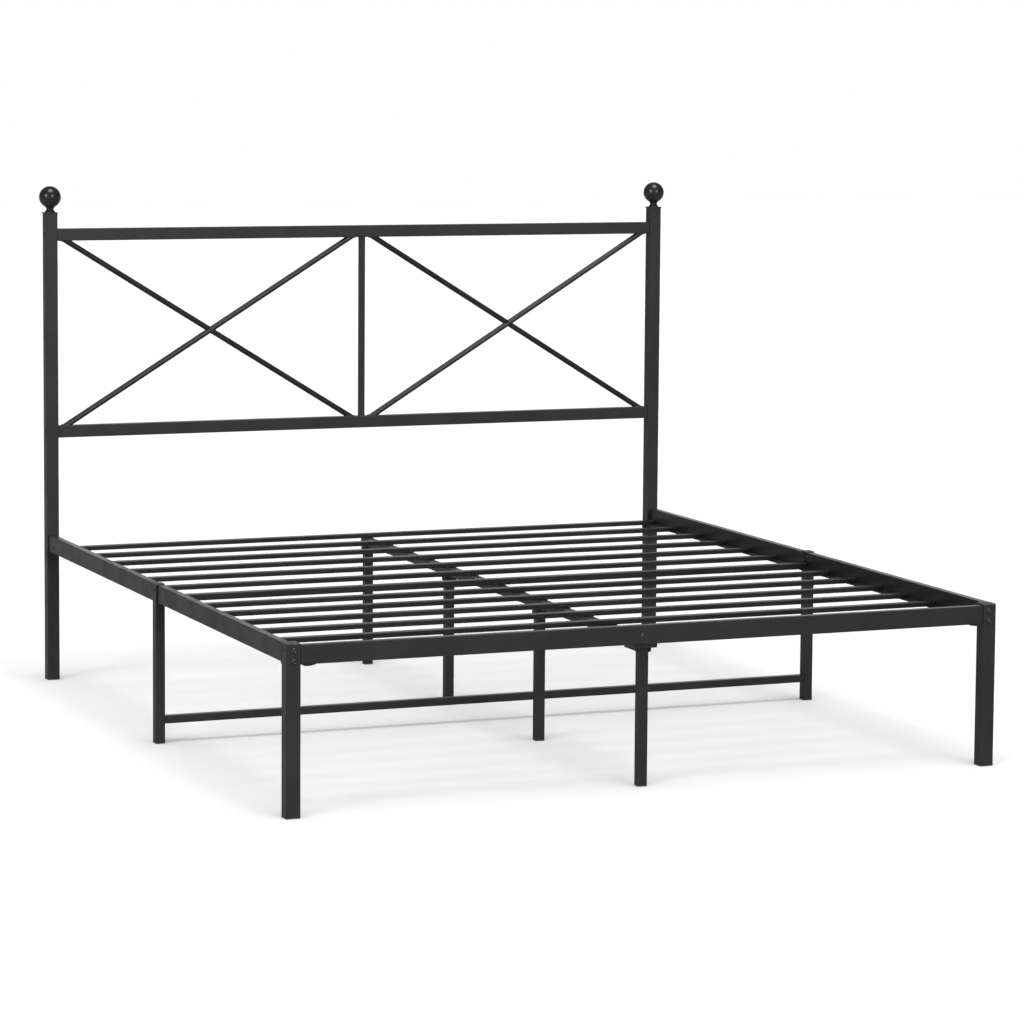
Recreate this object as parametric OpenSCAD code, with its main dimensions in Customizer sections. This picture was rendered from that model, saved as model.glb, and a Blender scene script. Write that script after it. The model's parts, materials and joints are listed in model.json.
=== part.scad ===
// Metal bed frame: a headboard of two ball-topped posts with crossed round rods between them,
// side rails in two halves joined at a pair of middle legs, a lower foot rail between two short
// corner legs, a centre rail on four legs, and thirteen cross slats.
// Millimetres. +Z up, +Y towards the head, +X to the right as seen from the foot.
// The origin is on the floor under the centre of the whole frame.

/* [Overall size] */
// Width over the two head posts
frame_w = 1860; // [1000:10:2000]
// Length from the foot legs' front faces to the head posts' back faces
frame_l = 2060; // [1650:10:2200]
// Height of the side rails' top faces above the floor
rail_top = 407; // [330:1:500]
// Height of the head post tubes from the floor
post_h = 1298; // [1050:1:1600]

/* [Steel tube] */
// Wall of every square and flat tube
wall = 1.5; // [1.2:0.1:2]
// Outside corner radius of every tube
corner_r = 2; // [1:0.1:3]
// Clearance of a sleeve or plug inside a tube, per side
slip = 0.2; // [0.1:0.05:0.4]

/* [Head posts and finials] */
// Side of the square head posts
post_s = 34; // [28:1:38]
// How far a post cap reaches past the post on each side
cap_lip = 2; // [1:0.5:3]
// Thickness of the caps on posts and foot legs
cap_t = 3; // [2:0.5:4]
// Diameter of the ball finials
ball_d = 60; // [50:1:66]
// Height of the neck between cap and ball
neck_h = 12; // [10:0.5:16]
// Largest radius of the neck, at the cap
neck_r = 14.5; // [13:0.5:16]

/* [Headboard] */
// Height of the two headboard rails
hb_rail_h = 33.5; // [26:0.5:40]
// Depth of the two headboard rails
hb_rail_d = 25; // [20:1:28]
// Drop from the post tube's top to the top rail's top
hb_drop = 42; // [30:1:80]
// Height of the lower headboard rail's underside above the floor
hb_low = 677; // [560:1:720]
// Side of the upright bar in the middle of the headboard
hb_bar = 16; // [14:1:25]
// Diameter of the crossed rods
rod_d = 16; // [10:0.5:18]
// Wall of the crossed rods
rod_wall = 1.2; // [1:0.1:1.5]
// Distance from a post or the middle bar to the end of a rod's centre line
rod_in = 33.5; // [26:0.5:60]

/* [Side rails] */
// Width of the side rails' box section
rail_w = 20; // [16:1:24]
// Height of the side rails and of the foot rail
rail_h = 46; // [40:1:54]
// Setback of the side rails' outer faces from the posts' outer faces
rail_set = 4; // [2:0.5:5]
// Width of the ledge that carries the slats
ledge_w = 23; // [18:1:30]
// Thickness of the ledge
ledge_t = 3; // [2:0.5:4]
// Length of the sleeves welded inside the rails' ends
stub_l = 62; // [45:1:80]
// Seam left between each middle leg and the foot half of its rail
seam = 1; // [0.5:0.1:2]

/* [Foot end] */
// Side of the square foot legs
foot_s = 35; // [30:1:38]
// Drop of the foot rail's top below the side rails' tops
foot_drop = 4; // [2:1:8]
// Thickness of the plates on the side rails' foot ends
end_t = 4; // [3:0.5:6]
// Height of the lugs under the foot rail
lug_h = 4; // [3:0.5:6]

/* [Middle legs and cross tie] */
// Width of the middle legs across the bed
mid_w = 24; // [22:1:28]
// Length of the middle legs along the bed
mid_l = 30; // [26:1:36]
// Position of the middle legs along the bed, as a share of its length from the foot
mid_at = 0.493; // [0.47:0.001:0.52]
// Side of the square tie between the two middle legs
tie_s = 20; // [16:1:24]
// Height of the tie's underside above the floor
tie_z = 50; // [30:1:120]

/* [Centre rail and its legs] */
// Width of the centre rail
cr_w = 30; // [26:1:36]
// Height of the centre rail
cr_h = 20; // [16:1:26]
// Side of the square centre legs
cl_s = 24; // [20:1:25]
// Distance from each end of the frame to its nearest centre leg
cl_end = 77.5; // [70:0.5:120]

/* [Slats] */
// Width of the slats along the bed
slat_w = 25; // [20:1:30]
// Thickness of the slats
slat_t = 12; // [10:0.5:14]
// Extra thickness of the slat over the middle joint
mid_slat_more = 4; // [0:0.5:6]
// Gap between a slat's end and the inner face of its side rail
slat_gap = 6; // [4:0.5:10]
// Distance from the head posts' back faces to the first slat's back face
slat_head = 50; // [45:1:80]
// Distance from the foot legs' front faces to the last slat's front face
slat_foot = 118; // [100:1:160]

/* [Fasteners] */
// Diameter of the large domed bolt heads
dome_d = 15; // [13:0.5:17]
// Height of the large domed bolt heads
dome_h = 4.5; // [3:0.25:5]
// Diameter of the large bolts
bolt_d = 8; // [6:0.5:8]
// Diameter of the small screw heads
screw_head = 9; // [7:0.5:10]
// Height of the small screw heads
screw_h = 2.5; // [1.5:0.25:3]
// Diameter of the small screws
screw_d = 5; // [4:0.5:6]

/* [Hidden] */
$fn = 48;
cut = 1;                                    // overshoot of cutting solids past a face
glide_t = 3;                                // flange of the plastic plugs under the legs
plug_h = 8;                                 // depth of caps and plugs inside a tube
half_w = frame_w / 2;
y_foot = -(frame_l - post_s / 2 + ball_d / 2 - dome_h) / 2;   // foot legs' front faces
y_head = y_foot + frame_l;                  // head posts' back faces
post_x = half_w - post_s / 2;
post_y = y_head - post_s / 2;
post_face = y_head - post_s;                // posts' faces towards the foot
rail_x1 = half_w - rail_set;                // outer face of the side rails
rail_x0 = rail_x1 - rail_w;                 // inner face of the side rails
rail_z0 = rail_top - rail_h;
slat_z = rail_z0 + ledge_t;                 // slats rest here
ledge_x = rail_x0 - ledge_w;
mid_y = y_foot + mid_at * frame_l;
mid_y0 = mid_y - mid_l / 2;
mid_y1 = mid_y + mid_l / 2;
mid_x1 = rail_x0 + mid_w;                   // outer face of the middle legs
mid_cap_t = 2.5;
foot_x1 = rail_x1;                          // outer face of the foot legs
foot_x0 = foot_x1 - foot_s;
foot_x = (foot_x0 + foot_x1) / 2;
foot_back = y_foot + foot_s;
foot_rail_set = 3;                          // foot rail's face behind the foot legs' faces
foot_rail_gap = 1;
fr_y0 = y_foot + foot_rail_set;
fr_y1 = fr_y0 + rail_w;
fr_z1 = rail_top - foot_drop;
fr_z0 = fr_z1 - rail_h;
hb_top = post_h - hb_drop;
hb_top_z = hb_top - hb_rail_h / 2;          // middle of the top rail
hb_low_z = hb_low + hb_rail_h / 2;
hb_end = 4;                                 // closed ends of the headboard rails
pan_z0 = hb_low + hb_rail_h;                // open panel between the two rails
pan_z1 = hb_top - hb_rail_h;
rod_x0 = hb_bar / 2 + rod_in;               // rod's centre line, bar end
rod_x1 = half_w - post_s - rod_in;          // rod's centre line, post end
half_rod_less = 0.1;                        // cut rods are this much thinner in radius
cr_z1 = slat_z;
cr_z0 = cr_z1 - cr_h;
cr_head = y_head - slat_head - slat_w * 0.4;   // head end of the centre rail
cl_pitch = (frame_l - 2 * cl_end) / 3;
br_t = 2.3;                                 // sheet of the centre leg brackets
br_drop = 16;                               // brackets' cheeks below the centre rail
br_long = 72;                               // cheeks' reach along the bed at the foot leg
br_short = 16;                              // and at the other three
cl_bolt_z = cr_z0 - 10;
nut_af = 17;
nut_t = 6;
angle_t = 3;                                // foot angle bracket
lug_l = 28;                                 // length of the lugs under the foot rail
lug_low = 20;                               // their deepest point, from the end away from the leg
lug_r = (pow(lug_low + 1, 2) + pow(lug_h, 2)) / (2 * lug_h);
low_head = 2;                               // low bolt heads on the posts
post_bolt_z = rail_z0 - 7;
head_pitch = (y_head - slat_head - slat_w - (mid_y + 160)) / 5;
foot_pitch = (mid_y - 166 - (y_foot + slat_foot)) / 5;
mid_slat_w = 28;
mid_slat_y = mid_y - 30.6;

c_frame = [0.17, 0.17, 0.17];
c_slat = [0.2, 0.2, 0.2];
c_plastic = [0.08, 0.08, 0.08];
c_bolt = [0.28, 0.28, 0.28];

// ---------- shared shapes ----------

// rectangle about its middle with rounded corners
module round_rect(w, h, r) {
    square([w - 2 * r, h], center = true);
    square([w, h - 2 * r], center = true);
    for (x = [-1, 1], y = [-1, 1])
        translate([x * (w / 2 - r), y * (h / 2 - r)]) circle(r = r);
}

// box tube standing on z = 0, open at both ends
module tube(w, d, l, t = wall) {
    difference() {
        linear_extrude(height = l) round_rect(w, d, corner_r);
        translate([-w / 2 + t, -d / 2 + t, -cut]) cube([w - 2 * t, d - 2 * t, l + 2 * cut]);
    }
}

// box tube lying along the bed from y0 to y1, w wide and h high about (x, z)
module tube_y(w, h, y0, y1, x, z, t = wall) {
    translate([x, y0, z]) rotate([-90, 0, 0]) tube(w, h, y1 - y0, t);
}

// box tube lying across the bed from x0 to x1, d deep and h high about (y, z)
module tube_x(d, h, x0, x1, y, z, t = wall) {
    translate([x0, y, z]) rotate([0, 90, 0]) tube(h, d, x1 - x0, t);
}

module both_sides() {
    children();
    mirror([1, 0, 0]) children();
}

// round bar from a point, turned to run along +X, -X or -Y
module rod_x(d, x0, x1, y, z) {
    translate([x0, y, z]) rotate([0, 90, 0]) cylinder(d = d, h = x1 - x0);
}

module rod_y(d, y0, y1, x, z) {
    translate([x, y0, z]) rotate([-90, 0, 0]) cylinder(d = d, h = y1 - y0);
}

// domed head on z = 0 with a hexagon socket, and its shank below
module domed_bolt(head_d, head_h, d, l, key) {
    r = (head_d * head_d / 4 + head_h * head_h) / (2 * head_h);
    difference() {
        union() {
            intersection() {
                translate([0, 0, head_h - r]) sphere(r = r);
                cylinder(d = head_d + 2, h = head_h + 1);
            }
            translate([0, 0, -l]) cylinder(d = d, h = l + 0.5);
        }
        translate([0, 0, head_h * 0.45]) cylinder(d = key, h = head_h, $fn = 6);
    }
}

// plug with a flange: the flange lies below z = 0 when down is true, above it when not
module plug(w, d, t, inner_t = wall) {
    linear_extrude(height = t) round_rect(w, d, corner_r);
    translate([-w / 2 + inner_t + slip, -d / 2 + inner_t + slip, t - cut])
        cube([w - 2 * inner_t - 2 * slip, d - 2 * inner_t - 2 * slip, plug_h + cut]);
}

// ---------- headboard ----------

module head_post() {
    difference() {
        translate([post_x, post_y, glide_t]) tube(post_s, post_s, post_h - glide_t);
        for (z = [hb_top_z, hb_low_z, post_bolt_z])
            rod_x(bolt_d, post_x - post_s, post_x + post_s, post_y, z);
    }
}

module head_post_left() color(c_frame) mirror([1, 0, 0]) head_post();
module head_post_right() color(c_frame) head_post();

module post_caps() color(c_frame) both_sides() translate([post_x, post_y, post_h]) difference() {
    union() {
        linear_extrude(height = cap_t) round_rect(post_s + 2 * cap_lip, post_s + 2 * cap_lip, corner_r);
        translate([0, 0, -plug_h]) linear_extrude(height = plug_h + cut)
            square(post_s - 2 * wall - 2 * slip, center = true);
    }
    translate([0, 0, -plug_h - cut]) cylinder(d = bolt_d, h = plug_h + cap_t + 2 * cut);
}

module ball_finial() translate([post_x, post_y, post_h + cap_t]) {
    translate([0, 0, neck_h + ball_d / 2]) sphere(d = ball_d, $fn = 96);
    rotate_extrude($fn = 96) difference() {
        square([neck_r, neck_h + 3]);
        translate([neck_r + 3.5, neck_h * 0.62]) circle(r = 6.5);
    }
    translate([0, 0, -plug_h - cap_t]) cylinder(d = bolt_d, h = plug_h + cap_t + 1);
}

module ball_finial_left() color(c_frame) mirror([1, 0, 0]) ball_finial();
module ball_finial_right() color(c_frame) ball_finial();

// headboard rail with closed, threaded ends
module headboard_rail(z) {
    l = 2 * (half_w - post_s);
    difference() {
        translate([-l / 2, post_y, z]) rotate([0, 90, 0]) linear_extrude(height = l)
            round_rect(hb_rail_h, hb_rail_d, corner_r);
        translate([-l / 2 + hb_end, post_y - hb_rail_d / 2 + wall, z - hb_rail_h / 2 + wall])
            cube([l - 2 * hb_end, hb_rail_d - 2 * wall, hb_rail_h - 2 * wall]);
        both_sides() rod_x(bolt_d, l / 2 - hb_end - cut, l / 2 + cut, post_y, z);
    }
}

module headboard_top_rail() color(c_frame) headboard_rail(hb_top_z);
module headboard_lower_rail() color(c_frame) headboard_rail(hb_low_z);
module headboard_centre_bar() color(c_frame)
    translate([0, post_y, pan_z0]) tube(hb_bar, hb_bar, pan_z1 - pan_z0);

// endless bar through the right-hand panel; up = 1 rises away from the middle, -1 falls
module panel_bar(up, r) {
    run = rod_x1 - rod_x0;
    rise = pan_z1 - pan_z0;
    translate([(rod_x0 + rod_x1) / 2, post_y, (pan_z0 + pan_z1) / 2])
        rotate([0, up * atan2(run, rise), 0])
            cylinder(r = r, h = run + rise, center = true);
}

// slab that holds everything between the two headboard rails from x0 to x1
module panel_slab(x0, x1) {
    translate([x0, post_y - rod_d, pan_z0]) cube([x1 - x0, 2 * rod_d, pan_z1 - pan_z0]);
}

module whole_rod(up) {
    intersection() {
        difference() {
            panel_bar(up, rod_d / 2);
            panel_bar(up, rod_d / 2 - rod_wall);
        }
        panel_slab(0, half_w);
    }
}

// the crossing rod is cut in two and coped against the whole one
module half_rod(up, x0, x1) {
    intersection() {
        difference() {
            panel_bar(up, rod_d / 2 - half_rod_less);
            panel_bar(up, rod_d / 2 - rod_wall);
            panel_bar(-up, rod_d / 2);
        }
        panel_slab(x0, x1);
    }
}

rod_mid = (rod_x0 + rod_x1) / 2;

module rod_right_rising() color(c_frame) whole_rod(1);
module rod_right_falling_outer() color(c_frame) half_rod(-1, rod_mid, half_w);
module rod_right_falling_inner() color(c_frame) half_rod(-1, 0, rod_mid);
module rod_left_rising() color(c_frame) mirror([1, 0, 0]) whole_rod(-1);
module rod_left_falling_outer() color(c_frame) mirror([1, 0, 0]) half_rod(1, rod_mid, half_w);
module rod_left_falling_inner() color(c_frame) mirror([1, 0, 0]) half_rod(1, 0, rod_mid);

// ---------- side rails ----------

inner_screw_z = rail_top - 11;
head_screw_y = post_face - 39;
head_screw_z = rail_z0 + 16.5;
inner_screws = [mid_y0 - 6.6, mid_y0 - 30.6];

module side_rail(y0, y1) {
    xm = (rail_x0 + rail_x1) / 2;
    tube_y(rail_w, rail_h, y0, y1, xm, (rail_z0 + rail_top) / 2);
    translate([ledge_x, y0, rail_z0]) cube([ledge_w + 1, y1 - y0, ledge_t]);
}

module side_rail_head() difference() {
    side_rail(mid_y1, post_face);
    rod_x(screw_d, rail_x1 - 3 * wall, rail_x1 + cut, head_screw_y, head_screw_z);
}

module side_rail_foot() difference() {
    side_rail(foot_back + end_t, mid_y0 - seam);
    for (y = inner_screws) rod_x(screw_d, rail_x0 - cut, rail_x0 + 3 * wall, y, inner_screw_z);
}

module side_rail_right_head() color(c_frame) side_rail_head();
module side_rail_right_foot() color(c_frame) side_rail_foot();
module side_rail_left_head() color(c_frame) mirror([1, 0, 0]) side_rail_head();
module side_rail_left_foot() color(c_frame) mirror([1, 0, 0]) side_rail_foot();

// sleeve inside a side rail: the rail hangs on its top face
module side_sleeve(y0, y1) {
    w = rail_w - 2 * wall - 2 * slip;
    h = rail_h - 2 * wall - slip;
    tube_y(w, h, y0, y1, (rail_x0 + rail_x1) / 2, rail_top - wall - h / 2, 2);
}

module head_sleeves() color(c_frame) both_sides() difference() {
    side_sleeve(post_face - stub_l - 8, post_face);
    rod_x(screw_d, rail_x1 - wall - 2 * slip - 4, rail_x1, head_screw_y, head_screw_z);
}

module middle_sleeves() color(c_frame) both_sides() difference() {
    side_sleeve(mid_y0 - stub_l, mid_y0);
    for (y = inner_screws) rod_x(screw_d, rail_x0, rail_x0 + wall + slip + 4, y, inner_screw_z);
}

corner_bolt_x = foot_x - 2;
corner_bolt_z = [rail_top - 17, rail_z0 + 4];

module rail_end_plates() color(c_frame) both_sides() difference() {
    translate([foot_x0, foot_back, fr_z0]) cube([foot_s, end_t, rail_top - fr_z0]);
    for (z = corner_bolt_z) rod_y(bolt_d, foot_back - cut, foot_back + end_t + cut, corner_bolt_x, z);
}

// ---------- foot end ----------

bracket_bolt_x = -31;
bracket_bolt_z = fr_z0 + 21;

module foot_rail() color(c_frame) difference() {
    tube_x(rail_w, rail_h, -foot_x0 + foot_rail_gap, foot_x0 - foot_rail_gap,
           (fr_y0 + fr_y1) / 2, (fr_z0 + fr_z1) / 2);
    rod_y(bolt_d, fr_y0 - cut, fr_y1 + cut, bracket_bolt_x, bracket_bolt_z);
}

module foot_sleeves() color(c_frame) both_sides() {
    h = rail_h - 2 * wall - slip;
    tube_x(rail_w - 2 * wall - 2 * slip, h, foot_x0 - stub_l, foot_x0,
           (fr_y0 + fr_y1) / 2, fr_z1 - wall - h / 2, 2);
}

module foot_rail_lugs() color(c_frame) both_sides()
    translate([foot_x0 - lug_l - 10, fr_y1, fr_z0]) rotate([90, 0, 0]) linear_extrude(height = rail_w)
        intersection() {
            translate([0, -lug_h - cut]) square([lug_l, lug_h + cut]);
            translate([lug_low, lug_r - lug_h]) circle(r = lug_r);
        }

module foot_leg() difference() {
    translate([foot_x, y_foot + foot_s / 2, glide_t]) tube(foot_s, foot_s, rail_top - cap_t - glide_t);
    for (z = corner_bolt_z) rod_y(bolt_d, y_foot - cut, foot_back + cut, corner_bolt_x, z);
    rod_x(6, foot_x1 - 2 * wall, foot_x1 + cut, y_foot + 19, rail_top - 18);
}

module foot_leg_left() color(c_frame) mirror([1, 0, 0]) foot_leg();
module foot_leg_right() color(c_frame) foot_leg();

module foot_leg_caps() color(c_plastic) both_sides()
    translate([foot_x, y_foot + foot_s / 2, rail_top]) mirror([0, 0, 1]) plug(foot_s, foot_s, cap_t);

module foot_angle_bracket() color(c_frame) difference() {
    union() {
        translate([-cr_w / 2 - 31, fr_y1, cr_z0 + 2]) cube([31, angle_t, fr_z1 - cr_z0 - 7]);
        translate([-cr_w / 2 - angle_t, fr_y1, cr_z0 + 2]) cube([angle_t, 26, cr_h - 3]);
    }
    rod_y(bolt_d, fr_y1 - cut, fr_y1 + angle_t + cut, bracket_bolt_x, bracket_bolt_z);
}

// ---------- middle legs ----------

mid_x = mid_x1 - mid_w / 2;
mid_screw_z = rail_top - 13.5;

module middle_leg() difference() {
    translate([mid_x, mid_y, glide_t]) tube(mid_w, mid_l, rail_top - glide_t);
    rod_x(screw_d, rail_x0 - cut, mid_x1 + cut, mid_y, mid_screw_z);
    rod_x(6, mid_x1 - 2 * wall, mid_x1 + cut, mid_y + 1.5, rail_top - 58);
}

module middle_leg_left() color(c_frame) mirror([1, 0, 0]) middle_leg();
module middle_leg_right() color(c_frame) middle_leg();

module middle_leg_caps() color(c_plastic) both_sides()
    translate([mid_x, mid_y, rail_top + mid_cap_t]) mirror([0, 0, 1]) plug(mid_w, mid_l, mid_cap_t);

module middle_joint_plates() color(c_frame) both_sides() difference() {
    translate([rail_x0 - angle_t, mid_y - 9, rail_top - 29]) cube([angle_t, 62, 26]);
    rod_x(screw_d, rail_x0 - angle_t - cut, rail_x0 + cut, mid_y, mid_screw_z);
}

module cross_tie() color(c_frame)
    tube_x(tie_s, tie_s, -rail_x0, rail_x0, mid_y, tie_z + tie_s / 2);

// ---------- centre rail and its legs ----------

function cl_y(n) = y_head - cl_end - (n - 1) * cl_pitch;

module centre_rail(y0, y1) tube_y(cr_w, cr_h, y0, y1, 0, (cr_z0 + cr_z1) / 2);
module centre_rail_head() color(c_frame) centre_rail(mid_y, cr_head);
module centre_rail_foot() color(c_frame) centre_rail(fr_y1, mid_y);
module centre_rail_joiner() color(c_frame) {
    h = cr_h - 2 * wall - slip;
    tube_y(cr_w - 2 * wall - 2 * slip, h, mid_y - stub_l, mid_y + stub_l, 0, cr_z0 + wall + h / 2, 2);
}

module centre_leg(n) difference() {
    translate([0, cl_y(n), glide_t]) tube(cl_s, cl_s, cr_z0 - br_t - glide_t);
    rod_x(bolt_d, -cl_s, cl_s, cl_y(n), cl_bolt_z);
}

module centre_leg_1() color(c_frame) centre_leg(1);
module centre_leg_2() color(c_frame) centre_leg(2);
module centre_leg_3() color(c_frame) centre_leg(3);
module centre_leg_4() color(c_frame) centre_leg(4);

// folded bracket under the centre rail, its cheeks either side of the leg
module centre_leg_bracket(n, reach) difference() {
    w = cl_s + 2 * slip;
    y0 = cl_y(n) - br_short;
    translate([-w / 2 - br_t, y0, cr_z0 - br_drop]) cube([w + 2 * br_t, br_short + reach, br_drop]);
    translate([-w / 2, y0 - cut, cr_z0 - br_drop - cut]) cube([w, br_short + reach + 2 * cut, br_drop - br_t + cut]);
    rod_x(bolt_d, -cl_s, cl_s, cl_y(n), cl_bolt_z);
}

module centre_leg_brackets() color(c_frame) {
    for (n = [1:3]) centre_leg_bracket(n, br_short);
    centre_leg_bracket(4, br_long);
}

// ---------- slats ----------

// front face of slat n, counted from the head
function slat_y(n) = n < 7 ? y_head - slat_head - slat_w - (n - 1) * head_pitch
                   : n == 7 ? mid_slat_y
                   : y_foot + slat_foot + (13 - n) * foot_pitch;

module slat(n) {
    w = n == 7 ? mid_slat_w : slat_w;
    h = n == 7 ? slat_t + mid_slat_more : slat_t;
    tube_x(w, h, -rail_x0 + slat_gap, rail_x0 - slat_gap, slat_y(n) + w / 2, slat_z + h / 2);
}

module slat_01() color(c_slat) slat(1);
module slat_02() color(c_slat) slat(2);
module slat_03() color(c_slat) slat(3);
module slat_04() color(c_slat) slat(4);
module slat_05() color(c_slat) slat(5);
module slat_06() color(c_slat) slat(6);
module slat_07() color(c_slat) slat(7);
module slat_08() color(c_slat) slat(8);
module slat_09() color(c_slat) slat(9);
module slat_10() color(c_slat) slat(10);
module slat_11() color(c_slat) slat(11);
module slat_12() color(c_slat) slat(12);
module slat_13() color(c_slat) slat(13);

// pressed clips: a foot on the centre rail, a tongue against the slat, a raised rivet head
module slat_clips() color(c_bolt) for (n = [1:13], x = [-11.5, 11.5])
    translate([x, slat_y(n), slat_z]) {
        translate([-3.5, -9, 0]) cube([7, 9, 1.2]);
        translate([-3.5, -1.2, 0]) cube([7, 1.2, 8]);
        translate([0, -5, 1]) cylinder(d = 5, h = 1.6);
    }

// ---------- fasteners ----------

module leg_glides() color(c_plastic) {
    both_sides() {
        translate([post_x, post_y, 0]) plug(post_s, post_s, glide_t);
        translate([foot_x, y_foot + foot_s / 2, 0]) plug(foot_s, foot_s, glide_t);
        translate([mid_x, mid_y, 0]) plug(mid_w, mid_l, glide_t);
    }
    for (n = [1:4]) translate([0, cl_y(n), 0]) plug(cl_s, cl_s, glide_t);
}

module nut(af, t, d) difference() {
    cylinder(d = af / cos(30), h = t, $fn = 6);
    translate([0, 0, -cut]) cylinder(d = d, h = t + 2 * cut);
}

module headboard_bolts() color(c_bolt) both_sides() {
    for (z = [hb_top_z, hb_low_z])
        translate([half_w, post_y, z]) rotate([0, 90, 0])
            domed_bolt(dome_d, low_head, bolt_d, post_s + hb_end, 5);
    translate([half_w, post_y, post_bolt_z]) rotate([0, 90, 0])
        domed_bolt(dome_d, low_head, bolt_d, post_s + 6.5, 5);
    translate([half_w - post_s - 6.5, post_y, post_bolt_z]) rotate([0, 90, 0]) nut(13, 6.5, bolt_d);
}

module foot_bolts() color(c_bolt) {
    both_sides() for (z = corner_bolt_z)
        translate([corner_bolt_x, y_foot, z]) rotate([90, 0, 0])
            domed_bolt(dome_d, dome_h, bolt_d, foot_s + end_t, 5);
    translate([bracket_bolt_x, fr_y0, bracket_bolt_z]) rotate([90, 0, 0])
        domed_bolt(dome_d - 2, 2.8, bolt_d, rail_w + angle_t, 5);
}

module rail_screws() color(c_bolt) both_sides() {
    translate([rail_x1, head_screw_y, head_screw_z]) rotate([0, 90, 0])
        domed_bolt(screw_head, screw_h, screw_d, wall + slip + 2, 3);
    translate([mid_x1, mid_y, mid_screw_z]) rotate([0, 90, 0])
        domed_bolt(screw_head, screw_h, screw_d, mid_w + angle_t, 3);
    for (y = inner_screws) translate([rail_x0, y, inner_screw_z]) rotate([0, -90, 0])
        domed_bolt(screw_head, screw_h, screw_d, wall + slip + 2, 3);
}

module centre_leg_bolts() color(c_bolt) for (n = [1:4]) {
    x = cl_s / 2 + slip + br_t;
    translate([-x, cl_y(n), cl_bolt_z]) rotate([0, -90, 0])
        domed_bolt(dome_d, 3.5, bolt_d, 2 * x + nut_t + 1.5, 5);
    translate([x, cl_y(n), cl_bolt_z]) rotate([0, 90, 0]) nut(nut_af, nut_t, bolt_d);
}

// ---------- drawing ----------

head_post_left();
head_post_right();
post_caps();
ball_finial_left();
ball_finial_right();
headboard_top_rail();
headboard_lower_rail();
headboard_centre_bar();
rod_left_rising();
rod_left_falling_outer();
rod_left_falling_inner();
rod_right_rising();
rod_right_falling_outer();
rod_right_falling_inner();
side_rail_left_head();
side_rail_left_foot();
side_rail_right_head();
side_rail_right_foot();
head_sleeves();
middle_sleeves();
foot_sleeves();
rail_end_plates();
foot_rail();
foot_rail_lugs();
foot_leg_left();
foot_leg_right();
foot_leg_caps();
middle_leg_left();
middle_leg_right();
middle_leg_caps();
middle_joint_plates();
cross_tie();
centre_rail_head();
centre_rail_foot();
centre_rail_joiner();
foot_angle_bracket();
centre_leg_1();
centre_leg_2();
centre_leg_3();
centre_leg_4();
centre_leg_brackets();
slat_01();
slat_02();
slat_03();
slat_04();
slat_05();
slat_06();
slat_07();
slat_08();
slat_09();
slat_10();
slat_11();
slat_12();
slat_13();
slat_clips();
leg_glides();
headboard_bolts();
foot_bolts();
rail_screws();
centre_leg_bolts();
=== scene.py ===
"""Looks of the metal bed frame: coated steel tube, turned finials, welds, bolts and plastic feet."""

import json
import math

import bmesh
import bpy
from mathutils import Matrix, Vector


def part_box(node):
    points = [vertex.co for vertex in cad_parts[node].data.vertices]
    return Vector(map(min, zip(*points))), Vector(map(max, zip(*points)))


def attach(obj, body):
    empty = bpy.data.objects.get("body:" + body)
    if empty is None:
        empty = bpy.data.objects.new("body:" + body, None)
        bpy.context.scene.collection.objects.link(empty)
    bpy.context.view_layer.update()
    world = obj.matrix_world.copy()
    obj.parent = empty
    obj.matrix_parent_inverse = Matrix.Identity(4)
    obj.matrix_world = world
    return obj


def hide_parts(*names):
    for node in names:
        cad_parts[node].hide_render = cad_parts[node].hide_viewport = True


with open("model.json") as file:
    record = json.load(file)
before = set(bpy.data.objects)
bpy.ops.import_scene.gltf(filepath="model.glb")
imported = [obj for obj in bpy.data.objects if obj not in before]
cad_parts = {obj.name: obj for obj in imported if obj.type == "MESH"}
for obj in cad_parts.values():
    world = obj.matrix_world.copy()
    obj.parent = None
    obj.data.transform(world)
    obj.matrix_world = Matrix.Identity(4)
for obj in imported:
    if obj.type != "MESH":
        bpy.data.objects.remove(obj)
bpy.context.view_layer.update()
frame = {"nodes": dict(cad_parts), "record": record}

MM = 0.001
SLOT_OF = {row["node"]: row["material_slot"] for row in frame["record"]["subparts"]}
X, Y, Z = 0, 1, 2

# ---------------------------------------------------------------- measures, from the CAD frame
WALL = 1.5 * MM
CORNER = 2.2 * MM            # outside corner of the square tube
CORNER_STEPS = 4
ARRIS = 0.35 * MM            # soft edge left on a sawn end
FLOOR_Z = 0.0
TUBE_MOUTH = 30 * MM         # depth of the recess in an open tube end
CAP_THICK = 3 * MM
RAIL_BOX = 20 * MM           # width of the side rail's box, without its ledge
RAIL_MOUTH = 25 * MM
LEDGE_THICK = 3 * MM
LEDGE_SINK = 0.5 * MM        # how far the ledge runs into the box


def lows_highs(node):
    """Lowest and highest corner of a CAD node as vectors."""
    lo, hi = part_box(node)
    return Vector(lo), Vector(hi)


POST_LO, POST_HI = lows_highs("head_post_right")
TOP_LO, TOP_HI = lows_highs("headboard_top_rail")
LOW_LO, LOW_HI = lows_highs("headboard_lower_rail")
BALL_LO, BALL_HI = lows_highs("ball_finial_right")
ROD_LO, ROD_HI = lows_highs("rod_right_rising")
BAR_LO, BAR_HI = lows_highs("headboard_centre_bar")
POST_Y = (POST_LO.y + POST_HI.y) / 2
BALL_X = (BALL_LO.x + BALL_HI.x) / 2
BALL_R = (BALL_HI.x - BALL_LO.x) / 2
ROD_R = (ROD_HI.y - ROD_LO.y) / 2
SIDES = (("left", -1), ("right", 1))


# ---------------------------------------------------------------- shader sums

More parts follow.
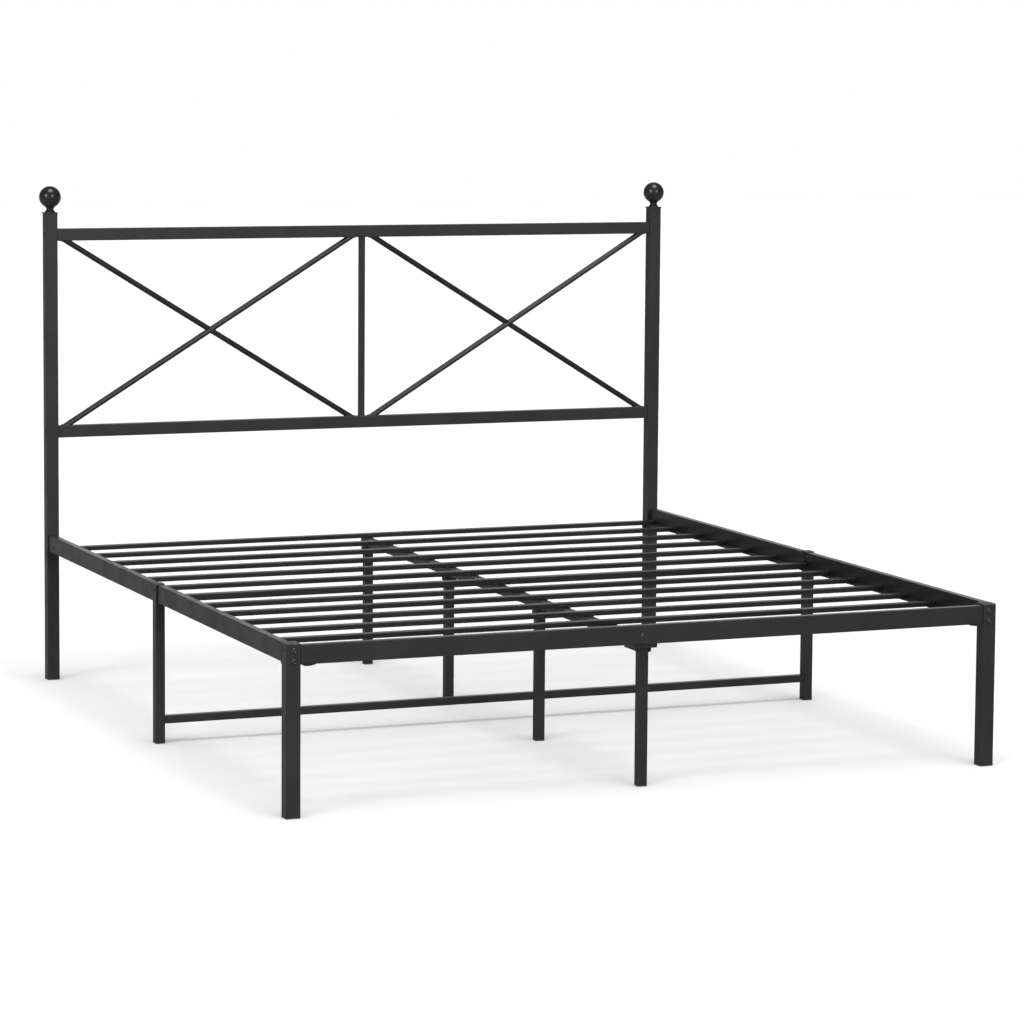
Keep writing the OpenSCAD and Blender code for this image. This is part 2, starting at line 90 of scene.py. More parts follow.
class Value:
    """A shader socket written into sums: every operator adds one Math node."""

    def __init__(self, tree, socket):
        self.tree, self.socket = tree, socket

    def _math(self, operation, *terms, clamp=False):
        node = self.tree.nodes.new("ShaderNodeMath")
        node.operation, node.use_clamp = operation, clamp
        for slot, term in zip(node.inputs, terms):
            if isinstance(term, Value):
                self.tree.links.new(term.socket, slot)
            else:
                slot.default_value = term
        return Value(self.tree, node.outputs[0])

    def __add__(self, other): return self._math("ADD", self, other)
    def __radd__(self, other): return self._math("ADD", other, self)
    def __sub__(self, other): return self._math("SUBTRACT", self, other)
    def __rsub__(self, other): return self._math("SUBTRACT", other, self)
    def __mul__(self, other): return self._math("MULTIPLY", self, other)
    def __pow__(self, other): return self._math("POWER", self, other)
    def held(self): return self._math("ADD", self, 0.0, clamp=True)


class Nodes:
    """An emptied node tree and the helpers that fill it."""

    def __init__(self, tree):
        self.tree = tree
        self.tree.nodes.clear()

    def node(self, kind, settings=None, **inputs):
        """Adds a node: settings first, then values or links by socket name; gives its outputs."""
        node = self.tree.nodes.new(kind)
        for key, value in (settings or {}).items():
            setattr(node, key, value)
        enabled = [s for s in node.inputs if s.enabled]
        for key, value in inputs.items():
            name = key.replace("_", " ")
            slot = next(s for s in enabled if s.name == name)
            if isinstance(value, Value):
                self.tree.links.new(value.socket, slot)
            elif value is not None:
                slot.default_value = value
        return {s.name: Value(self.tree, s) for s in node.outputs if s.enabled}

    def rise(self, value, low, high, out_low=0.0, out_high=1.0):
        """Smooth step of value from low to high."""
        return self.node("ShaderNodeMapRange", {"interpolation_type": "SMOOTHSTEP"}, Value=value,
                         From_Min=low, From_Max=high, To_Min=out_low, To_Max=out_high)["Result"]

    def blend(self, share, first, second):
        """Colour mix; first and second are colours or sockets."""
        node = self.tree.nodes.new("ShaderNodeMix")
        node.data_type = "RGBA"
        for slot, term in ((node.inputs[0], share), (node.inputs[6], first), (node.inputs[7], second)):
            if isinstance(term, Value):
                self.tree.links.new(term.socket, slot)
            else:
                slot.default_value = term if slot.type == "VALUE" else (*term, 1.0)
        return Value(self.tree, node.outputs[2])


class Finish(Nodes):
    """One material and the nodes that make it."""

    def __init__(self, name):
        self.material = bpy.data.materials.new(name)
        self.material.use_nodes = True
        super().__init__(self.material.node_tree)
        self.place = self.node("ShaderNodeTexCoord")["Object"]

    def noise(self, per_metre, detail=3.0, rough=0.5, stretch=None):
        """Fractal noise with that many lumps to the metre, about 0.5 on average."""
        place = self.place
        if stretch:
            place = self.node("ShaderNodeMapping", Vector=place, Scale=stretch)["Vector"]
        return self.node("ShaderNodeTexNoise", {"noise_dimensions": "3D"}, Vector=place,
                         Scale=per_metre, Detail=detail, Roughness=rough)["Fac"]

    def cells(self, per_metre):
        return self.node("ShaderNodeTexVoronoi", {"feature": "F1"}, Vector=self.place,
                         Scale=per_metre)["Distance"]

    def edge(self):
        """1 on the rounded corners of a piece, 0 on its flats."""
        return self.node("ShaderNodeAttribute", {"attribute_name": "edge"})["Fac"]

    def upness(self):
        """How far the surface faces up, 0 to 1."""
        normal = self.node("ShaderNodeNewGeometry")["Normal"]
        return self.node("ShaderNodeSeparateXYZ", Vector=normal)["Z"].held()

    def bump(self, height, distance, strength=1.0, under=None):
        return self.node("ShaderNodeBump", Height=height, Distance=distance, Strength=strength,
                         Normal=under)["Normal"]

    def surface(self, colour, roughness, normal, metallic=0.0, specular=0.5):
        shader = self.node("ShaderNodeBsdfPrincipled", Base_Color=colour, Roughness=roughness,
                           Normal=normal, Metallic=metallic, Specular_IOR_Level=specular)
        self.node("ShaderNodeOutputMaterial", Surface=shader["BSDF"])
        return self.material


# ---------------------------------------------------------------- finishes

def powder_coat(name, dark, light, lumps, gloss, dust):
    """Fine-textured satin coat: orange peel, cured speckle, rubbed corners and settled dust."""
    f = Finish(name)
    peel = f.noise(lumps, 2.0, 0.55)
    speckle = f.cells(1400.0)
    broad = f.noise(2.6, 3.0, 0.6)
    cloud = f.noise(18.0, 4.0, 0.6)
    tone = broad * 0.45 + cloud * 0.35 + peel * 0.2
    body = f.blend(f.rise(tone, 0.36, 0.64), dark, light)
    grain = f.rise(speckle, 0.05, 0.42)
    pinprick = (1.0 - grain) * 0.30
    flecked = f.blend(pinprick, body, tuple(min(1.0, c * 2.4) for c in light))
    rub = f.edge() * f.rise(f.noise(55.0, 5.0, 0.7), 0.40, 0.62)
    rubbed = f.blend(rub * 0.55, flecked, tuple(c * 2.3 for c in light))
    chip = f.edge() * f.rise(f.noise(38.0, 6.0, 0.75), 0.70, 0.74)
    chipped = f.blend(chip * 0.6, rubbed, (0.22, 0.215, 0.205))
    settle = f.upness() ** 6.0 * f.rise(f.noise(9.0, 5.0, 0.65), 0.35, 0.75) * dust
    colour = f.blend(settle, chipped, (0.30, 0.295, 0.285))
    smudge = f.rise(f.noise(11.0, 3.0, 0.5), 0.42, 0.68)
    roughness = gloss + (peel - 0.5) * 0.10 + smudge * 0.07 - rub * 0.08 + settle * 0.2
    relief = peel * 0.75 + grain * 0.25
    wave = f.bump(f.noise(22.0, 1.0, 0.4), 0.00035, 0.35)
    normal = f.bump(relief, 0.00011, 0.55, wave)
    return f.surface(colour, roughness, normal, specular=0.30)


def drawn_strip(name, dark, light):
    """Coat over thin drawn strip: the same coat with faint lines along the slat."""
    f = Finish(name)
    lines = f.noise(260.0, 2.0, 0.5, stretch=(0.015, 1.0, 1.0))
    peel = f.noise(620.0, 2.0, 0.5)
    broad = f.noise(3.4, 3.0, 0.6)
    body = f.blend(f.rise(broad * 0.6 + lines * 0.25 + peel * 0.15, 0.36, 0.64), dark, light)
    rub = f.edge() * f.rise(f.noise(48.0, 5.0, 0.7), 0.38, 0.62)
    rubbed = f.blend(rub * 0.6, body, tuple(c * 2.4 for c in light))
    scuff = f.upness() ** 4.0 * f.rise(f.noise(70.0, 4.0, 0.7, stretch=(0.12, 1.0, 1.0)), 0.62, 0.70)
    scuffed = f.blend(scuff * 0.22, rubbed, (0.20, 0.195, 0.19))
    settle = f.upness() ** 6.0 * f.rise(f.noise(7.0, 5.0, 0.65), 0.35, 0.75)
    colour = f.blend(settle * 0.06, scuffed, (0.30, 0.295, 0.285))
    roughness = 0.40 + (lines - 0.5) * 0.12 + (peel - 0.5) * 0.08 - rub * 0.08
    normal = f.bump(peel * 0.6 + lines * 0.4, 0.0001, 0.5)
    return f.surface(colour, roughness, normal, specular=0.20)


def moulded_plastic(name):
    """Spark-eroded black plastic with paler rubbed corners."""
    f = Finish(name)
    grain = f.noise(1500.0, 3.0, 0.6)
    broad = f.noise(16.0, 3.0, 0.5)
    body = f.blend(f.rise(broad, 0.35, 0.65), (0.017, 0.017, 0.018), (0.030, 0.030, 0.031))
    rub = f.edge() * f.rise(f.noise(90.0, 5.0, 0.7), 0.42, 0.6)
    colour = f.blend(rub * 0.6 + (grain - 0.5).held() * 0.25, body, (0.085, 0.085, 0.087))
    roughness = 0.56 + (grain - 0.5) * 0.25 - rub * 0.12
    return f.surface(colour, roughness, f.bump(grain, 0.00008, 0.6), specular=0.4)


def black_zinc(name):
    """Blackened steel of the bolts: dark, slightly metallic, with turning marks and bright rubs."""
    f = Finish(name)
    stain = f.noise(120.0, 4.0, 0.65)
    fine = f.noise(1800.0, 2.0, 0.6)
    body = f.blend(f.rise(stain, 0.34, 0.66), (0.003, 0.003, 0.003), (0.009, 0.0088, 0.0085))
    rub = (f.edge() * f.rise(f.noise(400.0, 4.0, 0.7), 0.40, 0.6)).held()
    colour = f.blend(rub * 0.3, body, (0.16, 0.157, 0.15))
    roughness = 0.16 + stain * 0.12 + (fine - 0.5) * 0.06 - rub * 0.04
    metallic = 0.1 + rub * 0.3
    return f.surface(colour, roughness, f.bump(fine * 0.6 + stain * 0.4, 0.00007, 0.5),
                     metallic=metallic.held())


def coated_weld(name):
    """A weld run under the same coat: ripples, spatter and a slightly rougher skin."""
    f = Finish(name)
    ripple = f.noise(420.0, 2.0, 0.5)
    spatter = f.rise(f.cells(260.0), 0.0, 0.30)
    body = f.blend(f.rise(ripple, 0.35, 0.65), (0.008, 0.008, 0.008), (0.014, 0.0138, 0.0135))
    colour = f.blend((1.0 - spatter) * 0.35, body, (0.028, 0.0277, 0.027))
    roughness = 0.36 + (ripple - 0.5) * 0.25
    return f.surface(colour, roughness, f.bump(ripple * 0.7 + spatter * 0.3, 0.0006, 0.8))


def studio_floor(name):
    """Matt white paper floor with the faintest mottle; in reflections it is painted near black, as
    painted shade for the unlit studio floor that the metal mirrors.
    """
    f = Finish(name)
    mottle = f.noise(1.2, 3.0, 0.5)
    tooth = f.noise(500.0, 2.0, 0.5)
    paper = f.blend(f.rise(mottle, 0.3, 0.7), (0.495, 0.495, 0.495), (0.51, 0.51, 0.51))
    # painted shade: glossy rays see the paper near black, so the metal mirrors a dark floor
    mirrored = f.node("ShaderNodeLightPath")["Is Glossy Ray"]
    colour = f.blend(mirrored * 0.66, paper, (0.03, 0.03, 0.03))
    return f.surface(colour, 0.85 + tooth * 0.1, f.bump(tooth, 0.0001, 0.2), specular=0.1)


FRAME_COAT = powder_coat("frame_powder_coat", (0.006, 0.006, 0.0059), (0.010, 0.0099, 0.0097),
                         480.0, 0.36, 0.04)
ROUND_COAT = powder_coat("round_powder_coat", (0.007, 0.007, 0.0069), (0.011, 0.0109, 0.0106),
                         480.0, 0.24, 0.03)
SLAT_COAT = drawn_strip("slat_powder_coat", (0.004, 0.004, 0.0039), (0.008, 0.0079, 0.0077))
PLASTIC = moulded_plastic("moulded_plastic")
ZINC = black_zinc("black_zinc_steel")
WELD = coated_weld("coated_weld")
FINISH_OF = {"frame_coat": FRAME_COAT, "slat_coat": SLAT_COAT, "plastic": PLASTIC,
             "blackened_steel": ZINC}


# ---------------------------------------------------------------- building with bmesh

def edge_layer(bm):
    return bm.loops.layers.float.get("edge") or bm.loops.layers.float.new("edge")


def settle(bm, name, material, nodes, slot, sharp_deg=40.0):
    """Turns a finished bmesh into a piece at the origin that rides on the frame."""
    bm.normal_update()
    mesh = bpy.data.meshes.new(name)
    bm.to_mesh(mesh)
    bm.free()
    mesh.polygons.foreach_set("use_smooth", [True] * len(mesh.polygons))
    mesh.set_sharp_from_angle(angle=math.radians(sharp_deg))
    mesh.materials.append(material)
    piece = bpy.data.objects.new(name, mesh)
    bpy.context.scene.collection.objects.link(piece)
    weigh = piece.modifiers.new("even_normals", "WEIGHTED_NORMAL")
    weigh.keep_sharp, weigh.weight = True, 80
    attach(piece, "root")
    if nodes:
        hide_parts(*nodes)
    return piece


def block(bm, lo, hi, corner, along=None, steps=CORNER_STEPS, arris=ARRIS):
    """Rounded bar between two corners: long edges rounded by corner, ends eased by arris."""
    lo, hi = Vector(lo), Vector(hi)
    size, mid = hi - lo, (hi + lo) / 2
    if along is None:
        along = max(range(3), key=lambda i: size[i])
    place = Matrix.Translation(mid) @ Matrix.Diagonal(size).to_4x4()
    made = bmesh.ops.create_cube(bm, size=1.0, matrix=place)
    verts = set(made["verts"])
    edges = [e for e in bm.edges if e.verts[0] in verts and e.verts[1] in verts]
    long_edges = [e for e in edges if abs((e.verts[0].co - e.verts[1].co).normalized()[along]) > 0.99]
    known = set(bm.faces) - {f for v in verts for f in v.link_faces}
    made = bmesh.ops.bevel(bm, geom=long_edges, offset=corner, segments=steps, profile=0.5,
                           affect="EDGES", material=-1)
    faces = [f for f in bm.faces if f not in known]
    layer = edge_layer(bm)
    flats = [f for f in faces if max(abs(c) for c in f.normal) > 0.999 and abs(f.normal[along]) < 0.5]
    flat_verts = {v for f in flats for v in f.verts}
    for f in made["faces"]:
        f.normal_update()
        if abs(f.normal[along]) < 0.5:
            for loop in f.loops:
                loop[layer] = 0.0 if loop.vert in flat_verts else 1.0
    ends = [f for f in faces if f.is_valid and abs(f.normal[along]) > 0.99]
    if arris:
        rims = list({e for f in ends for e in f.edges})
        made = bmesh.ops.bevel(bm, geom=rims, offset=arris, segments=2, profile=0.5,
                               affect="EDGES", material=-1)
        for f in made["faces"]:
            for loop in f.loops:
                loop[layer] = 0.8
        faces = [f for f in bm.faces if f not in known]
        ends = [f for f in faces if abs(f.normal[along]) > 0.99 and len(f.edges) > 4]
    return ends


def hollow_end(bm, end, wall, depth):
    """Opens the end of a bar: a wall's width of rim, then a recess."""
    inward = -end.normal.copy()
    bmesh.ops.inset_region(bm, faces=[end], thickness=wall, use_even_offset=True)
    made = bmesh.ops.extrude_discrete_faces(bm, faces=[end])
    verts = {v for f in made["faces"] for v in f.verts}
    bmesh.ops.translate(bm, verts=list(verts), vec=inward * depth)


def tube(node, along, open_ends=(), corner=CORNER):
    """The tube of one CAD node, with the ends named in open_ends (-1, 1) hollow."""
    lo, hi = lows_highs(node)
    bm = bmesh.new()
    for end in block(bm, lo, hi, corner, along):
        if round(end.normal[along]) in open_ends:
            hollow_end(bm, end, WALL, TUBE_MOUTH)
    slot = SLOT_OF[node]
    return settle(bm, node + "_tube", FINISH_OF[slot], [node], slot)


# ---------------------------------------------------------------- posts and finials

def fold_ring(bm, profile, centre, steps=64):
    """Spins a profile of (radius, height) about the vertical through centre."""
    verts = [bm.verts.new(centre + Vector((r, 0.0, z))) for r, z in profile]
    edges = [bm.edges.new(pair) for pair in zip(verts, verts[1:])]
    bmesh.ops.spin(bm, geom=verts + edges, cent=centre, axis=(0.0, 0.0, 1.0), angle=2 * math.pi,
                   steps=steps, use_merge=True, use_duplicate=False)
    bmesh.ops.remove_doubles(bm, verts=bm.verts[:], dist=1e-6)


def finial_profile(base_z):
    """Neck and ball from the cap plate to the top, as (radius, height)."""
    neck_h = BALL_HI.z - 2 * BALL_R - base_z
    middle = BALL_HI.z - BALL_R
    profile = [(0.0, base_z), (13.6 * MM, base_z), (14.4 * MM, base_z + 0.5 * MM),
               (14.4 * MM, base_z + 1.9 * MM), (13.8 * MM, base_z + 2.6 * MM)]
    for step in range(1, 9):                        # hollow of the neck
        turn = math.pi * step / 9
        profile.append((13.6 * MM - 3.6 * MM * math.sin(turn),
                        base_z + 2.8 * MM + (neck_h - 0.4 * MM) * step / 9))
    start = math.asin(min(1.0, 13.0 * MM / BALL_R))
    for step in range(30):                          # ball from the neck to the pole
        turn = start + (math.pi - start) * step / 29
        profile.append((BALL_R * math.sin(turn), middle - BALL_R * math.cos(turn)))
    profile[-1] = (0.0, BALL_HI.z)
    return profile


def ball_finials():
    cap_top = POST_HI.z + CAP_THICK
    for side, sign in SIDES:
        bm = bmesh.new()
        fold_ring(bm, finial_profile(cap_top), Vector((sign * BALL_X, POST_Y, 0.0)))
        bmesh.ops.recalc_face_normals(bm, faces=bm.faces[:])
        settle(bm, "ball_%s_turned" % side, ROUND_COAT, ["ball_finial_" + side], "frame_coat", 50.0)


def post_caps():
    """Square plates on the posts, their top edges dressed round."""
    hi = lows_highs("post_caps")[1]
    half = hi.x - BALL_X
    bm = bmesh.new()
    for _, sign in SIDES:
        at = Vector((sign * BALL_X, POST_Y, 0.0))
        low = at + Vector((-half, -half, POST_HI.z))
        high = at + Vector((half, half, hi.z))
        block(bm, low, high, 2.5 * MM, along=Z, arris=0.8 * MM)
    settle(bm, "post_caps_dressed", FRAME_COAT, ["post_caps"], "frame_coat")


# ---------------------------------------------------------------- rods and their welds

def rod_line(sign, rising):
    """End points of a rod's centre line in one panel, a little past both rails."""
    half_end = 9 * MM                               # half the width of a rod's slanted end
    inner, outer = ROD_LO.x + half_end, ROD_HI.x - half_end
    lo, hi = Vector((inner, POST_Y, LOW_HI.z)), Vector((outer, POST_Y, TOP_LO.z))
    if (sign > 0) != rising:
        lo.z, hi.z = hi.z, lo.z
    lo.x, hi.x = lo.x * sign, hi.x * sign
    return lo, hi


def round_bar(bm, start, end, radius, sides=28):
    span = end - start
    turn = span.to_track_quat("Z", "Y").to_matrix().to_4x4()
    made = bmesh.ops.create_cone(bm, cap_ends=True, segments=sides, radius1=radius, radius2=radius,
                                 depth=span.length, matrix=Matrix.Translation((start + end) / 2) @ turn)
    return made["verts"]


def trim_level(bm, height, keep_below):
    """Cuts everything off square at a height and closes the cut."""
    normal = Vector((0, 0, 1 if keep_below else -1))
    cut = bmesh.ops.bisect_plane(bm, geom=bm.verts[:] + bm.edges[:] + bm.faces[:], dist=1e-6,
                                 plane_co=(0, 0, height), plane_no=normal, clear_outer=True)
    rim = [e for e in cut["geom_cut"] if isinstance(e, bmesh.types.BMEdge)]
    bmesh.ops.contextual_create(bm, geom=rim)


def headboard_rods():
    """Whole rods rising, and the crossing ones in two halves that end inside them."""
    for side, sign in SIDES:
        for kind, rising in (("rising", True), ("falling", False)):
            lo, hi = rod_line(sign, rising)
            ends = sorted((lo, hi), key=lambda p: p.x)
            way = (ends[1] - ends[0]).normalized()
            spare = way * 20 * MM
            middle = (lo + hi) / 2
            if kind == "rising":
                parts = [("", ends[0] - spare, ends[1] + spare)]
            else:
                parts = [("_outer", ends[0] - spare, middle), ("_inner", middle, ends[1] + spare)]
                if sign > 0:
                    parts = [("_inner", ends[0] - spare, middle), ("_outer", middle, ends[1] + spare)]
            for part, start, stop in parts:
                bm = bmesh.new()
                round_bar(bm, start, stop, ROD_R if kind == "rising" else ROD_R - 0.1 * MM)
                trim_level(bm, LOW_HI.z, keep_below=False)
                trim_level(bm, TOP_LO.z, keep_below=True)
                bmesh.ops.recalc_face_normals(bm, faces=bm.faces[:])
                node = "rod_%s_%s%s" % (side, kind, part)
                settle(bm, node + "_bar", ROUND_COAT, [node], "frame_coat")


def bead_ring(bm, centre, u, v, thick, steps=30, wander=0.22):
    """A weld run round a loop: centre + u cos + v sin, its thickness wandering a little."""
    rings = []
    for step in range(steps):
        turn = 2 * math.pi * step / steps
        at = centre + u * math.cos(turn) + v * math.sin(turn)
        way = (v * math.cos(turn) - u * math.sin(turn)).normalized()
        size = thick * (1.0 + wander * math.sin(step * 2.9) + 0.5 * wander * math.sin(step * 5.3))
        made = bmesh.ops.create_circle(bm, segments=8, radius=size, matrix=(
            Matrix.Translation(at) @ way.to_track_quat("Z", "Y").to_matrix().to_4x4()))
        rings.append([e for e in bm.edges if e.verts[0] in made["verts"] and e.verts[1] in made["verts"]])
    for first, second in zip(rings, rings[1:] + rings[:1]):
        bmesh.ops.bridge_loops(bm, edges=first + second)


def square_bead(bm, centre, along, half_u, half_v, thick):
    """Weld run round a square tube's end."""
    u, v = [Vector([float(i == axis) for i in range(3)]) for axis in range(3) if axis != along]
    corners = [centre + u * half_u * a + v * half_v * b for a, b in ((1, 1), (-1, 1), (-1, -1), (1, -1))]
    rings = []
    count = 0
    for start, stop in zip(corners, corners[1:] + corners[:1]):
        steps = max(4, int((stop - start).length / (3.2 * MM)))
        for step in range(steps):
            at = start.lerp(stop, (step + 0.5) / steps)
            way = (stop - start).normalized()
            if step in (0, steps - 1):
                turned = (corners[(corners.index(stop) + 1) % 4] - stop).normalized()
                before = (start - corners[corners.index(start) - 1]).normalized()
                way = (way + (turned if step else before) * 0.6).normalized()
                at = at + (centre - at).normalized() * 0.35 * MM
            size = thick * (1.0 + 0.18 * math.sin(count * 2.4) + 0.1 * math.sin(count * 5.1))
            made = bmesh.ops.create_circle(bm, segments=8, radius=size, matrix=(
                Matrix.Translation(at) @ way.to_track_quat("Z", "Y").to_matrix().to_4x4()))
            rings.append([e for e in bm.edges
                          if e.verts[0] in made["verts"] and e.verts[1] in made["verts"]])
            count += 1
    for first, second in zip(rings, rings[1:] + rings[:1]):
        bmesh.ops.bridge_loops(bm, edges=first + second)


def headboard_welds():
    """Runs where the rods meet the rails, and round the middle bar's ends."""
    bm = bmesh.new()
    for _, sign in SIDES:
        for rising in (True, False):
            ends = rod_line(sign, rising)
            reach = ROD_R / abs((ends[1] - ends[0]).normalized().z)
            for end in ends:
                inset = 0.6 * MM if end.z < (LOW_HI.z + TOP_LO.z) / 2 else -0.6 * MM
                at = Vector((end.x, POST_Y, end.z + inset))
                bead_ring(bm, at, Vector((reach, 0, 0)), Vector((0, ROD_R, 0)), 1.5 * MM)
    half = (BAR_HI.x - BAR_LO.x) / 2
    for z in (BAR_LO.z + 0.5 * MM, BAR_HI.z - 0.5 * MM):
        square_bead(bm, Vector((0, POST_Y, z)), Z, half, half, 1.4 * MM)
    bmesh.ops.recalc_face_normals(bm, faces=bm.faces[:])
    settle(bm, "headboard_weld_runs", WELD, [], "frame_coat", 70.0)


# ---------------------------------------------------------------- rails

def side_rails():
    """Box section with its ledge."""
    for side, sign in SIDES:
        for half in ("head", "foot"):
            node = "side_rail_%s_%s" % (side, half)
            lo, hi = lows_highs(node)
            outer = hi.x if sign > 0 else lo.x
            inner = outer - sign * RAIL_BOX
            edge = lo.x if sign > 0 else hi.x
            bm = bmesh.new()
            x0, x1 = sorted((inner, outer))
            ends = block(bm, (x0, lo.y, lo.z), (x1, hi.y, hi.z), CORNER, along=Y)
            for end in ends:
                if half == "foot" and round(end.normal.y) == 1:
                    hollow_end(bm, end, WALL, RAIL_MOUTH)
            x0, x1 = sorted((edge, inner + sign * LEDGE_SINK))
            block(bm, (x0, lo.y, lo.z), (x1, hi.y, lo.z + LEDGE_THICK), 0.8 * MM, along=Y, steps=2)
            settle(bm, node + "_section", FRAME_COAT, [node], "frame_coat")


def ledge_welds():
    """Stitch welds along the corner between ledge and rail."""
    bm = bmesh.new()
    for side, sign in SIDES:
        for half in ("head", "foot"):
            lo, hi = lows_highs("side_rail_%s_%s" % (side, half))
            outer = hi.x if sign > 0 else lo.x
            corner = Vector((outer - sign * 20.3 * MM, 0, lo.z + 3.2 * MM))
            count = 7
            for n in range(count):
                y = lo.y + (hi.y - lo.y) * (n + 0.62) / count
                run = bmesh.ops.create_uvsphere(bm, u_segments=8, v_segments=10, radius=2.2 * MM)
                bmesh.ops.scale(bm, verts=run["verts"], vec=(1.0, 1.0, 8.0))
                bmesh.ops.rotate(bm, verts=run["verts"], cent=(0, 0, 0),
                                 matrix=Matrix.Rotation(math.pi / 2, 3, "X"))
                bmesh.ops.translate(bm, verts=run["verts"], vec=corner + Vector((0, y, 0)))
    settle(bm, "ledge_weld_runs", WELD, [], "frame_coat", 70.0)


# ---------------------------------------------------------------- bolts

def bolt_head(bm, at, outward, head_r, head_h, socket_r):
    """Domed head with a hexagon socket, standing on its face."""
    turn = Vector(outward).to_track_quat("Z", "Y").to_matrix().to_4x4()
    place = Matrix.Translation(at) @ turn
    known = set(bm.verts)
    profile = [(head_r * 0.97, 0.0), (head_r, head_h * 0.10), (head_r * 0.985, head_h * 0.22)]
    for step in range(1, 7):
        turn_at = math.pi / 2 * step / 7
        profile.append((head_r * math.cos(turn_at) ** 0.8,
                        head_h * (0.22 + 0.78 * math.sin(turn_at))))
    mouth_r = socket_r * 1.12
    profile = [p for p in profile if p[0] > mouth_r] + [(mouth_r, head_h * 0.985)]
    verts = [bm.verts.new((r, 0.0, z)) for r, z in profile]
    edges = [bm.edges.new(pair) for pair in zip(verts, verts[1:])]
    bmesh.ops.spin(bm, geom=verts + edges, cent=(0, 0, 0), axis=(0, 0, 1), angle=2 * math.pi,
                   steps=30, use_merge=True, use_duplicate=False)
    own = [v for v in bm.verts if v not in known]
    bmesh.ops.remove_doubles(bm, verts=own, dist=1e-7)
    own = [v for v in bm.verts if v not in known]
    rim = [e for e in bm.edges if e.is_boundary and all(v in own for v in e.verts)]
    top = [e for e in rim if e.verts[0].co.z > head_h * 0.5]
    foot = [e for e in rim if e.verts[0].co.z < head_h * 0.5]
    hexagon = bmesh.ops.create_circle(bm, segments=6, radius=socket_r)["verts"]
    bmesh.ops.translate(bm, verts=hexagon, vec=(0, 0, head_h * 0.95))
    hex_edges = [e for e in bm.edges if all(v in hexagon for v in e.verts)]
    bmesh.ops.triangle_fill(bm, edges=top + hex_edges, use_beauty=True)
    mouth = [e for e in hex_edges if e.is_valid]
    made = bmesh.ops.extrude_edge_only(bm, edges=mouth)
    low = [v for v in made["geom"] if isinstance(v, bmesh.types.BMVert)]
    bmesh.ops.translate(bm, verts=low, vec=(0, 0, -head_h * 0.5))
    bmesh.ops.contextual_create(bm, geom=[e for e in made["geom"] if isinstance(e, bmesh.types.BMEdge)
                                          and all(v in low for v in e.verts)])
    bmesh.ops.contextual_create(bm, geom=foot)
    layer = edge_layer(bm)
    own = [v for v in bm.verts if v not in known]
    bmesh.ops.recalc_face_normals(bm, faces=list({f for v in own for f in v.link_faces}))
    for v in own:
        radial = math.hypot(v.co.x, v.co.y)
        for loop in v.link_loops:
            loop[layer] = 1.0 if radial < socket_r * 1.2 else 0.25
    bmesh.ops.transform(bm, matrix=place, verts=own)


def nut(bm, at, outward, flats, thick):
    """Hexagon nut with chamfered corners."""
    turn = Vector(outward).to_track_quat("Z", "Y").to_matrix().to_4x4()
    known = set(bm.verts)
    bmesh.ops.create_cone(bm, cap_ends=True, segments=6, radius1=flats / math.sqrt(3),
                          radius2=flats / math.sqrt(3), depth=thick,
                          matrix=Matrix.Translation((0, 0, thick / 2)))
    own = [v for v in bm.verts if v not in known]
    edges = [e for e in bm.edges if all(v in own for v in e.verts)]
    made = bmesh.ops.bevel(bm, geom=edges, offset=0.7 * MM, segments=2, profile=0.5, affect="EDGES",
                           material=-1)
    layer = edge_layer(bm)
    for f in made["faces"]:
        for loop in f.loops:
            loop[layer] = 1.0
    own = [v for v in bm.verts if v not in known]
    bmesh.ops.transform(bm, matrix=Matrix.Translation(at) @ turn, verts=own)


BOLT_R, BOLT_SOCKET = 7.5 * MM, 2.7 * MM
SCREW_R, SCREW_H, SCREW_SOCKET = 4.5 * MM, 2.5 * MM, 1.6 * MM


def settle_bolts(bm, name, node):
    settle(bm, name, ZINC, [node], "blackened_steel", 35.0)


def headboard_bolts():
    """Low heads on the posts' outer faces, and a nut on the inner face at the lowest."""
    low_z = lows_highs("headboard_bolts")[0].z + BOLT_R
    bm = bmesh.new()
    for _, sign in SIDES:
        for z in ((TOP_LO.z + TOP_HI.z) / 2, (LOW_LO.z + LOW_HI.z) / 2, low_z):
            bolt_head(bm, (sign * POST_HI.x, POST_Y, z), (sign, 0, 0), BOLT_R, 2.0 * MM, BOLT_SOCKET)
        nut(bm, (sign * POST_LO.x, POST_Y, low_z), (-sign, 0, 0), 13 * MM, 6.5 * MM)
    settle_bolts(bm, "headboard_bolt_heads", "headboard_bolts")


def foot_bolts():
    """Two domed heads on each foot leg, and one on the foot rail that holds the angle bracket."""
    lo, hi = lows_highs("foot_bolts")
    leg_front = lows_highs("foot_leg_right")[0].y
    rail_lo = lows_highs("foot_rail")[0]
    bolt_x = hi.x - BOLT_R
    bracket_x, bracket_rise = -31 * MM, 21 * MM
    bm = bmesh.new()
    for _, sign in SIDES:
        for z in (hi.z - BOLT_R, lo.z + BOLT_R):
            bolt_head(bm, (sign * bolt_x, leg_front, z), (0, -1, 0), BOLT_R, 4.5 * MM, BOLT_SOCKET)
    bolt_head(bm, (bracket_x, rail_lo.y, rail_lo.z + bracket_rise), (0, -1, 0),
              6.5 * MM, 2.8 * MM, BOLT_SOCKET)
    settle_bolts(bm, "foot_bolt_heads", "foot_bolts")


